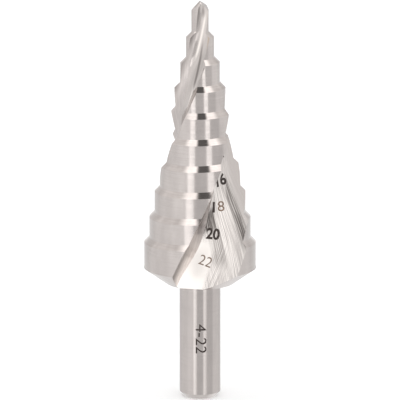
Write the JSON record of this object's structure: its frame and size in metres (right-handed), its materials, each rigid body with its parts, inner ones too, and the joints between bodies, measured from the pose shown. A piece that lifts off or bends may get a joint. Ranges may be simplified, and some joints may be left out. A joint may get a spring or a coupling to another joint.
{
  "type": "step drill",
  "caption": "Step drill with a split point, stepped lands with bevelled shoulders, spiral flutes and a plain round shank; cuts holes of several sizes in sheet metal.",
  "frame": {"origin": "centre of the shank's end face", "axes": "+Z along the drill's axis, from the shank end to the tip; -Y is the side with the widest view of one flute"},
  "size_m": [0.0218, 0.0212, 0.0784],
  "materials": {
    "step_drill": "bright ground tool steel with fine grinding lines"
  },
  "bodies": {
    "root": {"step_drill": "step_drill"}
  },
  "joints": []
}
